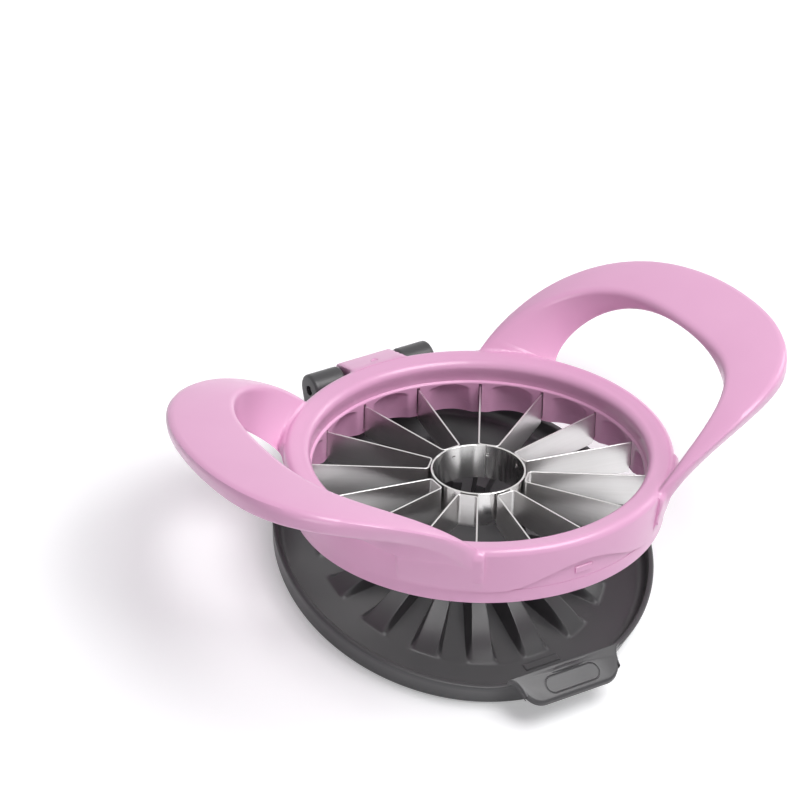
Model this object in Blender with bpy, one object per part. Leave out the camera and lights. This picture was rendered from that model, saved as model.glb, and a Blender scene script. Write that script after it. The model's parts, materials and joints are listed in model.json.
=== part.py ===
"""Apple slicer with a hinged base.

A moulded ring with two loop handles holds eight folded blade strips and a core ring, clamped from
below by a retainer ring. A dark tray with sixteen wedge ridges hangs on a steel pin behind the ring.
The tray's underside lies flat on z = 0, its centre is the origin, +X runs along the handles and +Y
towards the hinge. The head stands open by OPEN_ANGLE.
"""

import math

import bmesh
import bpy
from mathutils import Matrix, Vector

MM = 0.001

# Clearances and cutters
GAP = 0.3 * MM
OVERRUN = 2.0 * MM
MERGE_DISTANCE = 0.001 * MM

# Fineness of the round shapes
RING_SEGMENTS = 64
SMALL_SEGMENTS = 20
CORE_SEGMENTS = 48

# Slicing pattern
WEDGES = 16
PITCH = 2 * math.pi / WEDGES

# The ring round the opening. Heights in the head are measured from the core ring's top edge
OPENING_RADIUS = 49.8 * MM
LOWER_BAND_WIDTH = 6.0 * MM
WALL_STEP_OUT = 2.2 * MM
RING_RADIUS = OPENING_RADIUS + LOWER_BAND_WIDTH + WALL_STEP_OUT
RING_TOP = 8.0 * MM
RING_EDGE_ROUND = 2.1 * MM
WALL_DRAFT = 1.6 * MM
STEP_HEIGHT = -6.7 * MM
LIP_FLARE = 0.3 * MM
LIP_RADIUS = OPENING_RADIUS + LIP_FLARE
LIP_ROUND = 2.5 * MM
LIP_DROP = 0.5 * MM

# Retainer ring under the blades' ends
RETAINER_RADIUS = OPENING_RADIUS + LOWER_BAND_WIDTH
RETAINER_HEIGHT = 4.3 * MM
RETAINER_BOTTOM = STEP_HEIGHT - RETAINER_HEIGHT
RETAINER_CHAMFER = 0.3 * MM
RETAINER_INNER_LIFT = 1.2 * MM

# Arched scallops between the blades
SCALLOP_HALF_WIDTH = 6.6 * MM
SCALLOP_DEPTH = 3.6 * MM
SCALLOP_TOP = 0.2 * MM
SCALLOP_ARCH_RISE = 2.3 * MM
SCALLOP_DOME_TURNS = (math.radians(28), math.radians(52), math.radians(72))

# Core ring, a rolled strip with a butt seam
CORE_RADIUS = 14.2 * MM
CORE_WALL = 0.6 * MM
CORE_HEIGHT = 11.3 * MM
CORE_EDGE = 0.9 * MM
CORE_EDGE_WIDTH = 0.1 * MM
CORE_SEAM = 0.3 * MM
CORE_SEAM_ANGLE = math.radians(47)

# Blade strips, each folded into two blades and the facet between them
STRIPS = WEDGES // 2
BLADE_THICKNESS = 0.5 * MM
BLADE_TOP = -0.35 * MM
BLADE_SETBACK = 0.15 * MM
BLADE_BOTTOM = RETAINER_BOTTOM + BLADE_SETBACK
BLADE_TIP_DEPTH = 2.2 * MM
BLADE_TIP_RADIUS = OPENING_RADIUS + BLADE_TIP_DEPTH
BLADE_HEEL_CLEARANCE = 0.6 * MM
BLADE_HEEL_RADIUS = OPENING_RADIUS - BLADE_HEEL_CLEARANCE
BLADE_NOTCH_HEIGHT = -8.6 * MM
BLADE_NOTCH_SLANT = 0.4 * MM
BLADE_EDGE = 0.9 * MM
BLADE_EDGE_WIDTH = 0.1 * MM
SLOT_ROOF = 0.9 * MM

# The tray fits round the lower band of the ring
TRAY_CLEARANCE = 1.2 * MM
BASE_INNER_RADIUS = RETAINER_RADIUS + TRAY_CLEARANCE

# Relief in the ring's wall above the tab, and the nub in it
RELIEF_RISE = 6.9 * MM
RELIEF_HALF_ANGLE = math.radians(28)
RELIEF_RADIUS = RETAINER_RADIUS
RELIEF_STEPS = 24
NUB_WIDTH = 7.6 * MM
NUB_TOP = -2.2 * MM
NUB_HEIGHT = 3.0 * MM
NUB_PROUD = 0.5 * MM

# Hinge behind the ring
HINGE_SETBACK = 5.0 * MM
HINGE_Y = BASE_INNER_RADIUS + HINGE_SETBACK
HINGE_HEIGHT = 1.6 * MM
BOSS_RADIUS = 4.6 * MM
BOSS_HALF_WIDTH = 9.4 * MM
LUG_INNER = 10.4 * MM
LUG_OUTER = 21.5 * MM
LUG_RADIUS = 5.0 * MM
PIN_RADIUS = 1.5 * MM
PIN_SETBACK = 0.3 * MM
OPEN_ANGLE = math.radians(19.0)

# Loop handles: reach from the axis, half spread at the roots and rise above the core's top edge
HANDLE_LENGTH = 39.4 * MM
HANDLE_REACH = RING_RADIUS + HANDLE_LENGTH
HANDLE_SETBACK = 0.6 * MM
HANDLE_SPREAD = RING_RADIUS - HANDLE_SETBACK
HANDLE_RISE = 32.9 * MM
HANDLE_EDGE_ROUND = 1.8 * MM
HANDLE_EDGE_LIMIT_SHARE = 0.36
HANDLE_EDGE_EASE_SHARE = 0.25
HANDLE_ROOT_WIDTH_SHARE = 0.08
HANDLE_STEPS = 18
# Control points of the four edges of one leg, root to tip, as shares of reach, spread and rise
HANDLE_OUTER_TOP_SHARES = ((0.308, 0.831, 0.195), (0.565, 0.960, 0.936), (1.0, 0.826, 1.0), (1.0, 0, 1.0))
HANDLE_INNER_TOP_SHARES = (
    (0.308, 0.831, 0.195),
    (0.425, 0.824, 0.626),
    (0.632, 0.692, 0.878),
    (0.754, 0.561, 0.900),
    (0.754, 0, 0.900),
)
HANDLE_INNER_LOW_SHARES = (
    (0.511, 0.547, 0.085),
    (0.519, 0.652, 0.191),
    (0.688, 0.744, 0.450),
    (0.746, 0.472, 0.818),
    (0.746, 0, 0.818),
)
HANDLE_OUTER_LOW_SHARES = (
    (0.314, 0.862, -0.098),
    (0.394, 0.747, 0.502),
    (0.918, 0.958, 0.985),
    (0.958, 0.599, 0.729),
    (0.958, 0, 0.729),
)
# Where a leg's root goes into the ring's wall
ROOT_DEPTH = 2.5 * MM
ROOT_RADIUS = RING_RADIUS - ROOT_DEPTH
ROOT_TOP = 5.4 * MM
ROOT_BOTTOM = -4.0 * MM
# Pad on the ring's outer wall under each leg
PAD_START = math.radians(33.0)
PAD_END = math.radians(58.5)
PAD_PROUD = 0.6 * MM
PAD_TOP = 4.6 * MM
PAD_BOTTOM = -5.2 * MM
PAD_ROOT_DEPTH = 3.4 * MM
PAD_ROOT_RADIUS = RING_RADIUS - PAD_ROOT_DEPTH
PAD_STEPS = 7

# Base tray, measured in the head's frame when it is shut
BASE_RIM = STEP_HEIGHT - GAP
BASE_WALL = 1.8 * MM
BASE_WALL_DRAFT = 1.4 * MM
FLOOR_CLEARANCE = 1.8 * MM
BASE_FLOOR = RETAINER_BOTTOM - FLOOR_CLEARANCE
BASE_FLOOR_THICKNESS = 3.4 * MM
BASE_UNDERSIDE = BASE_FLOOR - BASE_FLOOR_THICKNESS
BASE_BOTTOM_ROUND = 1.6 * MM
BASE_INNER_ROUND = 3.0 * MM
RIM_WAVE_RISE = 5.2 * MM
RIM_WAVE_HALF_ANGLE = math.radians(25)
RIM_WAVE_STEPS = 20

# Finger tab at the front of the base
TAB_HALF_WIDTH = 16.8 * MM
TAB_LENGTH = 8.6 * MM
TAB_REACH = BASE_INNER_RADIUS + TAB_LENGTH
TAB_DROP = 3.0 * MM
TAB_THICKNESS = 2.4 * MM
TAB_CORNER = 6.0 * MM
TAB_FLARE = 3.0 * MM
CORNER_STEPS = 5

# Wedge ridges on the tray's floor
RIDGE_CORE_CLEARANCE = 3.8 * MM
RIDGE_START = CORE_RADIUS + RIDGE_CORE_CLEARANCE
RIDGE_RIM_CLEARANCE = 12.0 * MM
RIDGE_END = BASE_INNER_RADIUS - RIDGE_RIM_CLEARANCE
RIDGE_END_SLOPE = 1.0 * MM
RIDGE_FOOT_HALF_WIDTH = 4.9 * MM
RIDGE_CREST_HALF_WIDTH = 3.5 * MM
RIDGE_CREST_FLAT_SHARE = 0.7
RIDGE_HEIGHT = 9.2 * MM
RIDGE_FALL_POWER = 3
RIDGE_SINK = 1.0 * MM
# Where the sections of a ridge lie between its inner and its outer end
RIDGE_SECTION_SHARES = (0.04, 0.25, 0.45, 0.62, 0.77, 0.9, 1.02)

# Low rib on the floor behind the tab
RIB_HALF_LENGTH = 6.0 * MM
RIB_WIDTH = 2.4 * MM
RIB_HEIGHT = 0.9 * MM
RIB_RIM_CLEARANCE = 8.2 * MM
RIB_RADIUS = BASE_INNER_RADIUS - RIB_RIM_CLEARANCE

# Plastics and steel: colour, metallic, roughness
PINK_PLASTIC = ("pink_plastic", (0.80, 0.36, 0.62), 0.0, 0.28)
RETAINER_PLASTIC = ("retainer_plastic", (0.76, 0.33, 0.58), 0.0, 0.32)
DARK_PLASTIC = ("dark_plastic", (0.055, 0.055, 0.060), 0.0, 0.45)
BLADE_STEEL = ("blade_steel", (0.62, 0.61, 0.60), 1.0, 0.30)
CORE_STEEL = ("core_steel", (0.68, 0.67, 0.66), 1.0, 0.25)
PIN_STEEL = ("pin_steel", (0.55, 0.55, 0.56), 1.0, 0.35)


def clear_scene():
    for item in list(bpy.data.objects):
        bpy.data.objects.remove(item, do_unlink=True)


def make_material(finish):
    """One plain surface from a name, a colour, a metallic value and a roughness."""
    name, colour, metallic, roughness = finish
    material = bpy.data.materials.new(name)
    material.use_nodes = True
    surface = material.node_tree.nodes["Principled BSDF"]
    surface.inputs["Base Color"].default_value = (*colour, 1.0)
    surface.inputs["Metallic"].default_value = metallic
    surface.inputs["Roughness"].default_value = roughness
    return material


def make_object(name, shape, finish=None):
    """Turns a bmesh into an object, with its faces pointing out."""
    bmesh.ops.remove_doubles(shape, verts=shape.verts, dist=MERGE_DISTANCE)
    bmesh.ops.triangulate(shape, faces=shape.faces)
    bmesh.ops.recalc_face_normals(shape, faces=shape.faces)
    mesh = bpy.data.meshes.new(name)
    shape.to_mesh(mesh)
    shape.free()
    item = bpy.data.objects.new(name, mesh)
    bpy.context.scene.collection.objects.link(item)
    if finish:
        mesh.materials.append(make_material(finish))
        mesh.shade_smooth()
        mesh.set_sharp_from_angle(angle=math.radians(35))
    return item


def make_cutter(name, shape):
    """An object that only shapes another one."""
    item = make_object(name, shape)
    item.hide_render = True
    item.display_type = "WIRE"
    return item


def combine(item, other, operation):
    modifier = item.modifiers.new(operation.lower() + "_" + other.name, "BOOLEAN")
    modifier.operation = operation
    modifier.solver = "EXACT"
    modifier.object = other


def polar(radius, angle, height):
    return Vector((radius * math.cos(angle), radius * math.sin(angle), height))


def turn_profile(shape, profile, segments):
    """Turns an outline of (radius, height) points once about the Z axis.

    The outline is a closed one, or it starts and ends on the axis.
    """
    corners = [shape.verts.new((radius, 0, height)) for radius, height in profile]
    edges = [shape.edges.new(pair) for pair in zip(corners, corners[1:])]
    if profile[0][0] > 0 or profile[-1][0] > 0:
        edges.append(shape.edges.new((corners[-1], corners[0])))
    bmesh.ops.spin(
        shape,
        geom=corners + edges,
        cent=(0, 0, 0),
        axis=(0, 0, 1),
        angle=2 * math.pi,
        steps=segments,
        use_merge=True,
    )


def loft(shape, outlines):
    """Skins matched outlines one after the other and closes both ends."""
    rows = [[shape.verts.new(point) for point in outline] for outline in outlines]
    for lower, upper in zip(rows, rows[1:]):
        for i, vert in enumerate(lower):
            after = (i + 1) % len(lower)
            shape.faces.new((vert, lower[after], upper[after], upper[i]))
    shape.faces.new(rows[0])
    shape.faces.new(rows[-1])


def extrude_outline(shape, outline, start, end):
    """A prism: the outline of points moved by the two vectors start and end."""
    loft(shape, [[point + start for point in outline], [point + end for point in outline]])


def bezier(points, share):
    """The point at a share of the way along a Bezier curve."""
    while len(points) > 1:
        points = [a.lerp(b, share) for a, b in zip(points, points[1:])]
    return points[0]


def wave(angle, half_angle, rise):
    """Height of a smooth hump centred on the front of the ring, zero beyond its ends."""
    offset = (angle + math.pi / 2) / half_angle
    if abs(offset) >= 1:
        return 0.0
    return rise * (1 + math.cos(math.pi * offset)) / 2


def rounding(centre_radius, centre_height, size, first, last):
    """Points of a rounded edge in (radius, height), from one angle to another."""
    points = []
    for step in range(CORNER_STEPS):
        turn = first + (last - first) * step / (CORNER_STEPS - 1)
        points.append((centre_radius + size * math.cos(turn), centre_height + size * math.sin(turn)))
    return points


def frame_profile():
    """Outline of the ring: drafted wall, crowned top, and the lip down to the opening."""
    lip_height = RING_TOP - LIP_DROP - LIP_ROUND
    outline = [(OPENING_RADIUS, STEP_HEIGHT), (RING_RADIUS - WALL_DRAFT, STEP_HEIGHT)]
    outline += rounding(RING_RADIUS - RING_EDGE_ROUND, RING_TOP - RING_EDGE_ROUND, RING_EDGE_ROUND, 0, math.pi / 2)
    outline += rounding(LIP_RADIUS + LIP_ROUND, lip_height, LIP_ROUND, math.pi / 2, math.pi)
    outline += [(OPENING_RADIUS, 0)]
    return outline


def scallop_shape(shape, angle, bottom):
    """A domed niche cut into the opening's wall, midway between two blades."""
    spring = SCALLOP_TOP - SCALLOP_ARCH_RISE
    centre = polar(OPENING_RADIUS, angle, 0)
    outward = polar(1, angle, 0)
    along = polar(1, angle + math.pi / 2, 0)

    def ring(height, share):
        points = []
        for i in range(SMALL_SEGMENTS):
            turn = 2 * math.pi * i / SMALL_SEGMENTS
            place = centre + outward * (SCALLOP_DEPTH * share * math.cos(turn))
            place += along * (SCALLOP_HALF_WIDTH * share * math.sin(turn))
            points.append(place + Vector((0, 0, height)))
        return points

    outlines = [ring(bottom, 1), ring(spring, 1)]
    for turn in SCALLOP_DOME_TURNS:
        outlines.append(ring(spring + SCALLOP_ARCH_RISE * math.sin(turn), math.cos(turn)))
    loft(shape, outlines)


def slot_shape(shape, angle, bottom):
    """A narrow slot in the opening's wall for one blade's end."""
    outward = polar(1, angle, 0)
    side = polar(BLADE_THICKNESS / 2 + GAP, angle + math.pi / 2, 0)
    near = outward * (OPENING_RADIUS - OVERRUN)
    far = outward * (BLADE_TIP_RADIUS + GAP)
    outline = [near - side, far - side, far + side, near + side]
    extrude_outline(shape, outline, Vector((0, 0, bottom)), Vector((0, 0, SLOT_ROOF)))


def wall_pattern(name, bottom, slot_bottom):
    """Cutters for all the scallops and all the blade slots."""
    scallops = bmesh.new()
    slots = bmesh.new()
    for i in range(WEDGES):
        scallop_shape(scallops, PITCH * i, bottom)
        slot_shape(slots, PITCH * (i + 0.5), slot_bottom)
    return make_cutter(name + "_scallops", scallops), make_cutter(name + "_slots", slots)


def edge_points(shares, step_share):
    size = Vector((HANDLE_REACH, HANDLE_SPREAD, HANDLE_RISE))
    return bezier([Vector(share) * size for share in shares], step_share)


def edge_share(length):
    """How far a corner's rounding runs along a side of this length."""
    return min(HANDLE_EDGE_ROUND / max(length, HANDLE_EDGE_ROUND), HANDLE_EDGE_LIMIT_SHARE)


def rounded_section(corners):
    """The four edges of a leg's section with each corner eased by three points."""
    points = []
    for i, corner in enumerate(corners):
        before = corners[i - 1] - corner
        after = corners[(i + 1) % len(corners)] - corner
        first = before * edge_share(before.length)
        last = after * edge_share(after.length)
        points += [corner + first, corner + (first + last) * HANDLE_EDGE_EASE_SHARE, corner + last]
    return points


def handle_sections():
    """Sections of one leg from inside the ring's wall to the tip of the loop."""
    sections = []
    for step in range(HANDLE_STEPS + 1):
        share = step / HANDLE_STEPS
        corners = [
            edge_points(HANDLE_OUTER_TOP_SHARES, share),
            edge_points(HANDLE_INNER_TOP_SHARES, share),
            edge_points(HANDLE_INNER_LOW_SHARES, share),
            edge_points(HANDLE_OUTER_LOW_SHARES, share),
        ]
        if step == 0:
            corners[1] = corners[0].lerp(corners[2], HANDLE_ROOT_WIDTH_SHARE)
        sections.append(rounded_section(corners))
    root = []
    for point in sections[0]:
        height = min(max(point.z, ROOT_BOTTOM), ROOT_TOP)
        root.append(polar(ROOT_RADIUS, math.atan2(point.y, point.x), height))
    return [root] + sections


def handle_shape(side):
    """One whole loop, on the +X side for side 1 and on the -X side for side -1."""
    legs = handle_sections()
    shape = bmesh.new()
    front = [[Vector((side * p.x, -p.y, p.z)) for p in section] for section in legs]
    back = [[Vector((side * p.x, p.y, p.z)) for p in section] for section in legs[-2::-1]]
    loft(shape, front + back)
    return shape


def arc_wall(shape, start, end, steps, inner, outer, bottom, top):
    """A curved wall; inner, outer, bottom and top are functions of the angle."""
    outlines = []
    for i in range(steps + 1):
        angle = start + (end - start) * i / steps
        outlines.append([
            polar(inner(angle), angle, bottom(angle)),
            polar(outer(angle), angle, bottom(angle)),
            polar(outer(angle), angle, top(angle)),
            polar(inner(angle), angle, top(angle)),
        ])
    loft(shape, outlines)


def root_pads():
    """The raised pads on the ring's outer wall, one under each leg."""
    shape = bmesh.new()
    for start in (PAD_START, math.pi - PAD_END, math.pi + PAD_START, -PAD_END):
        arc_wall(
            shape, start, start + PAD_END - PAD_START, PAD_STEPS,
            lambda angle: PAD_ROOT_RADIUS,
            lambda angle: RING_RADIUS + PAD_PROUD,
            lambda angle: PAD_BOTTOM,
            lambda angle: PAD_TOP,
        )
    return make_cutter("handle_root_pads", shape)


def relief_cutter():
    """The hollow in the outer wall that follows the raised front of the tray's rim."""
    shape = bmesh.new()
    start = -math.pi / 2 - RELIEF_HALF_ANGLE
    arc_wall(
        shape, start, start + 2 * RELIEF_HALF_ANGLE, RELIEF_STEPS,
        lambda angle: RELIEF_RADIUS,
        lambda angle: RING_RADIUS + OVERRUN,
        lambda angle: STEP_HEIGHT - OVERRUN,
        lambda angle: STEP_HEIGHT + wave(angle, RELIEF_HALF_ANGLE, RELIEF_RISE) + GAP / 10,
    )
    return make_cutter("relief", shape)


def side_prism(name, outlines):
    """Prisms across the hinge: pairs of (half outline in y and z, (x from, x to))."""
    shape = bmesh.new()
    for outline, span in outlines:
        points = [Vector((0, y, z)) for y, z in outline]
        extrude_outline(shape, points, Vector((span[0], 0, 0)), Vector((span[1], 0, 0)))
    return make_cutter(name, shape)


def hinge_arc(radius, first, last, steps):
    """Points on a circle about the hinge axis, in y and z, between two angles."""
    points = []
    for i in range(steps + 1):
        turn = first + (last - first) * i / steps
        points.append((HINGE_Y + radius * math.cos(turn), HINGE_HEIGHT + radius * math.sin(turn)))
    return points


def hinge_boss():
    """The block on the ring that carries the middle of the pin."""
    outline = hinge_arc(BOSS_RADIUS, -math.pi / 2, math.pi / 2, SMALL_SEGMENTS // 2)
    outline += [(ROOT_RADIUS, HINGE_HEIGHT + BOSS_RADIUS), (ROOT_RADIUS, HINGE_HEIGHT - BOSS_RADIUS)]
    return side_prism("hinge_boss", [(outline, (-BOSS_HALF_WIDTH, BOSS_HALF_WIDTH))])


def pin_hole(name):
    outline = hinge_arc(PIN_RADIUS + GAP, 0, 2 * math.pi * (1 - 1 / SMALL_SEGMENTS), SMALL_SEGMENTS - 1)
    reach = LUG_OUTER + OVERRUN
    return side_prism(name, [(outline, (-reach, reach))])


def seat_on_hinge(item, pivot):
    """Puts a head piece's origin on the hinge axis and hangs it on the pivot."""
    item.data.transform(Matrix.Translation((0, -HINGE_Y, -HINGE_HEIGHT)))
    item.parent = pivot


def build_frame(pivot):
    """The moulded ring with its two loop handles, hinge boss and nub."""
    shape = bmesh.new()
    turn_profile(shape, frame_profile(), RING_SEGMENTS)
    frame = make_object("frame", shape, PINK_PLASTIC)
    parts = [make_cutter("handle_right", handle_shape(1)), make_cutter("handle_left", handle_shape(-1))]
    parts += [root_pads(), hinge_boss()]
    scallops, slots = wall_pattern("frame", STEP_HEIGHT - OVERRUN, STEP_HEIGHT - OVERRUN)
    for part in parts:
        combine(frame, part, "UNION")
    cutters = [relief_cutter(), scallops, slots, pin_hole("frame_pin_hole")]
    for cutter in cutters:
        combine(frame, cutter, "DIFFERENCE")
    nub_shape = bmesh.new()
    half_nub = NUB_WIDTH / 2 / RELIEF_RADIUS
    arc_wall(
        nub_shape, -math.pi / 2 - half_nub, -math.pi / 2 + half_nub, 4,
        lambda angle: ROOT_RADIUS,
        lambda angle: RELIEF_RADIUS + NUB_PROUD,
        lambda angle: NUB_TOP - NUB_HEIGHT,
        lambda angle: NUB_TOP,
    )
    nub = make_cutter("nub", nub_shape)
    combine(frame, nub, "UNION")
    for item in [frame, *parts, *cutters, nub]:
        seat_on_hinge(item, pivot)


def build_retainer(pivot):
    """The lower ring that closes the blade slots from below; its underside rises inwards."""
    top = STEP_HEIGHT - GAP
    profile = [
        (OPENING_RADIUS, top),
        (OPENING_RADIUS, RETAINER_BOTTOM + RETAINER_INNER_LIFT),
        (RETAINER_RADIUS - RETAINER_CHAMFER, RETAINER_BOTTOM),
        (RETAINER_RADIUS, RETAINER_BOTTOM + RETAINER_CHAMFER),
        (RETAINER_RADIUS, top),
    ]
    shape = bmesh.new()
    turn_profile(shape, profile, RING_SEGMENTS)
    retainer = make_object("blade_retainer", shape, RETAINER_PLASTIC)
    slot_bottom = BLADE_NOTCH_HEIGHT - BLADE_NOTCH_SLANT - GAP
    cutters = wall_pattern("retainer", RETAINER_BOTTOM - OVERRUN, slot_bottom)
    for cutter in cutters:
        combine(retainer, cutter, "DIFFERENCE")
    for item in [retainer, *cutters]:
        seat_on_hinge(item, pivot)


def build_core_ring(pivot):
    """The rolled strip in the middle, ground sharp along its lower edge."""
    inner = CORE_RADIUS - CORE_WALL
    profile = [
        (CORE_RADIUS, 0),
        (inner, 0),
        (inner, -CORE_HEIGHT),
        (inner + CORE_EDGE_WIDTH, -CORE_HEIGHT),
        (CORE_RADIUS, -CORE_HEIGHT + CORE_EDGE),
    ]
    seam = CORE_SEAM / CORE_RADIUS
    start = CORE_SEAM_ANGLE + seam / 2
    sweep = 2 * math.pi - seam
    shape = bmesh.new()
    loft(shape, [
        [polar(radius, start + sweep * i / CORE_SEGMENTS, height) for radius, height in profile]
        for i in range(CORE_SEGMENTS + 1)
    ])
    seat_on_hinge(make_object("core_ring", shape, CORE_STEEL), pivot)


def strip_outline(middle, reach, thickness, height):
    """Plan of one folded strip: out along one blade, round the facet, out along the other."""
    half = thickness / 2
    facet_distance = CORE_RADIUS + GAP + BLADE_THICKNESS / 2
    fold = half * math.tan(math.radians(45) - PITCH / 4)
    points = []
    for side in (1, -1):
        blade = middle + side * PITCH / 2
        along = polar(fold, blade, 0)
        across = polar(side * half, blade + math.pi / 2, 0)
        tip = polar(reach, blade, height)
        bend = polar(facet_distance / math.cos(PITCH / 2), blade, height)
        edge = [bend - across + along, tip - across, tip + across, bend + across - along]
        points += edge if side == 1 else edge[::-1]
    return points


def build_blade_strips(pivot):
    """Eight strips; each one's two blades run from the core ring into slots in the ring."""
    heel_height = BLADE_NOTCH_HEIGHT - BLADE_NOTCH_SLANT
    edge_height = BLADE_BOTTOM + BLADE_EDGE
    layers = [
        (BLADE_TOP, BLADE_TIP_RADIUS, BLADE_THICKNESS),
        (BLADE_NOTCH_HEIGHT, BLADE_TIP_RADIUS, BLADE_THICKNESS),
        (heel_height, BLADE_HEEL_RADIUS, BLADE_THICKNESS),
        (edge_height, BLADE_HEEL_RADIUS, BLADE_THICKNESS),
        (BLADE_BOTTOM, BLADE_HEEL_RADIUS, BLADE_EDGE_WIDTH),
    ]
    for i in range(STRIPS):
        shape = bmesh.new()
        middle = 2 * PITCH * i
        loft(shape, [strip_outline(middle, reach, thick, height) for height, reach, thick in layers])
        seat_on_hinge(make_object("blade_strip_%d" % (i + 1), shape, BLADE_STEEL), pivot)


def base_body():
    """The tray's outer shape, solid up to its rim."""
    rim_outer = BASE_INNER_RADIUS + BASE_WALL
    foot = rim_outer - BASE_WALL_DRAFT
    profile = [(0, BASE_UNDERSIDE)]
    for step in range(CORNER_STEPS):
        turn = math.pi / 2 * step / (CORNER_STEPS - 1)
        profile.append((
            foot - BASE_BOTTOM_ROUND + BASE_BOTTOM_ROUND * math.sin(turn),
            BASE_UNDERSIDE + BASE_BOTTOM_ROUND * (1 - math.cos(turn)),
        ))
    edge = BASE_WALL / 4
    profile += [(rim_outer, BASE_RIM - edge), (rim_outer - edge, BASE_RIM), (0, BASE_RIM)]
    shape = bmesh.new()
    turn_profile(shape, profile, RING_SEGMENTS)
    return make_object("base", shape, DARK_PLASTIC)


def base_cavity():
    """The tray's hollow, with a round between wall and floor."""
    top = -BASE_RIM
    profile = [(0, BASE_FLOOR)]
    for step in range(CORNER_STEPS):
        turn = math.pi / 2 * step / (CORNER_STEPS - 1)
        profile.append((
            BASE_INNER_RADIUS - BASE_INNER_ROUND + BASE_INNER_ROUND * math.sin(turn),
            BASE_FLOOR + BASE_INNER_ROUND * (1 - math.cos(turn)),
        ))
    profile += [(BASE_INNER_RADIUS, top), (0, top)]
    shape = bmesh.new()
    turn_profile(shape, profile, RING_SEGMENTS)
    # Its corners fall between those of the outer wall
    shape.transform(Matrix.Rotation(math.pi / RING_SEGMENTS, 4, "Z"))
    return make_cutter("base_cavity", shape)


def rim_wave():
    """The front of the rim, which rises to meet the relief in the ring."""
    shape = bmesh.new()
    start = -math.pi / 2 - RIM_WAVE_HALF_ANGLE
    arc_wall(
        shape, start, start + 2 * RIM_WAVE_HALF_ANGLE, RIM_WAVE_STEPS,
        lambda angle: BASE_INNER_RADIUS - 2 * OVERRUN,
        lambda angle: BASE_INNER_RADIUS + BASE_WALL - BASE_WALL / 8,
        lambda angle: BASE_RIM - BASE_WALL / 2,
        lambda angle: BASE_RIM + GAP / 10 + wave(angle, RIM_WAVE_HALF_ANGLE, RIM_WAVE_RISE),
    )
    return make_cutter("rim_wave", shape)


def tab_outline():
    """Plan of the finger tab, from its flared root to its rounded outer corners."""
    root = -(BASE_INNER_RADIUS - OVERRUN)
    points = [Vector((TAB_HALF_WIDTH + TAB_FLARE, root, 0)), Vector((TAB_HALF_WIDTH, root - 2 * TAB_FLARE, 0))]
    centre = Vector((TAB_HALF_WIDTH - TAB_CORNER, -TAB_REACH + TAB_CORNER, 0))
    for step in range(CORNER_STEPS + 1):
        turn = -math.pi / 2 * step / CORNER_STEPS
        points.append(centre + Vector((math.cos(turn), math.sin(turn), 0)) * TAB_CORNER)
    return points + [Vector((-p.x, p.y, 0)) for p in reversed(points)]


def finger_tab():
    """A plate that slopes down a little from the raised rim."""
    root = -BASE_INNER_RADIUS
    slope = TAB_DROP / (TAB_REACH + root)
    crest = BASE_RIM + RIM_WAVE_RISE - GAP

    def layer(depth):
        outline = tab_outline()
        return [Vector((p.x, p.y, crest - depth + slope * min(p.y - root, 0))) for p in outline]

    shape = bmesh.new()
    loft(shape, [layer(TAB_THICKNESS), layer(0)])
    return make_cutter("finger_tab", shape)


def hinge_lugs():
    """Two lugs that stand up from the back of the tray round the pin's ends."""
    outline = hinge_arc(LUG_RADIUS, -math.pi / 5, math.pi, SMALL_SEGMENTS // 2 + 2)
    front = HINGE_Y - LUG_RADIUS
    under_rim = BASE_RIM - GAP
    outline += [
        (front, under_rim),
        (BASE_INNER_RADIUS * math.cos(math.asin(LUG_OUTER / BASE_INNER_RADIUS)) - OVERRUN, under_rim),
        (BASE_INNER_RADIUS * math.cos(math.asin(LUG_OUTER / BASE_INNER_RADIUS)) - OVERRUN, BASE_FLOOR),
        (BASE_INNER_RADIUS, BASE_FLOOR),
    ]
    spans = ((LUG_INNER, LUG_OUTER), (-LUG_OUTER, -LUG_INNER))
    return side_prism("hinge_lugs", [(outline, span) for span in spans])


def ridge_crest(radius):
    """Height of a ridge over the floor; it falls to nothing at the outer end."""
    return RIDGE_HEIGHT * (1 - (radius / RIDGE_END) ** RIDGE_FALL_POWER)


def ridge_shape(shape, angle):
    """One wedge ridge: narrow and high towards the core, wider and lower outwards."""
    outward = polar(1, angle, 0)
    side = polar(1, angle + math.pi / 2, 0)

    def section(radius, height):
        centre = outward * radius
        crest = centre + Vector((0, 0, BASE_FLOOR + height))
        low = centre + Vector((0, 0, BASE_FLOOR - RIDGE_SINK))
        foot_edge = side * (RIDGE_FOOT_HALF_WIDTH * radius / RIDGE_END)
        edge = side * (RIDGE_CREST_HALF_WIDTH * radius / RIDGE_END)
        ease = edge * RIDGE_CREST_FLAT_SHARE
        drop = Vector((0, 0, height / 16))
        return [
            low - foot_edge,
            low + foot_edge,
            crest + edge - drop,
            crest + ease,
            crest - ease,
            crest - edge - drop,
        ]

    sections = [section(RIDGE_START, ridge_crest(RIDGE_START) - RIDGE_END_SLOPE)]
    for share in RIDGE_SECTION_SHARES:
        radius = RIDGE_START + (RIDGE_END - RIDGE_START) * share
        sections.append(section(radius, ridge_crest(radius)))
    loft(shape, sections)


def floor_features():
    """The sixteen ridges and the low rib behind the tab."""
    ridges = bmesh.new()
    for i in range(WEDGES):
        ridge_shape(ridges, PITCH * i)
    rib = bmesh.new()
    half = Vector((RIB_HALF_LENGTH, 0, 0))
    near = Vector((0, -RIB_RADIUS, 0))
    far = near + Vector((0, RIB_WIDTH, 0))
    outline = [near - half, near + half, far + half, far - half]
    extrude_outline(rib, outline, Vector((0, 0, BASE_FLOOR - RIDGE_SINK)), Vector((0, 0, BASE_FLOOR + RIB_HEIGHT)))
    return [make_cutter("ridges", ridges), make_cutter("floor_rib", rib)]


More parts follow.
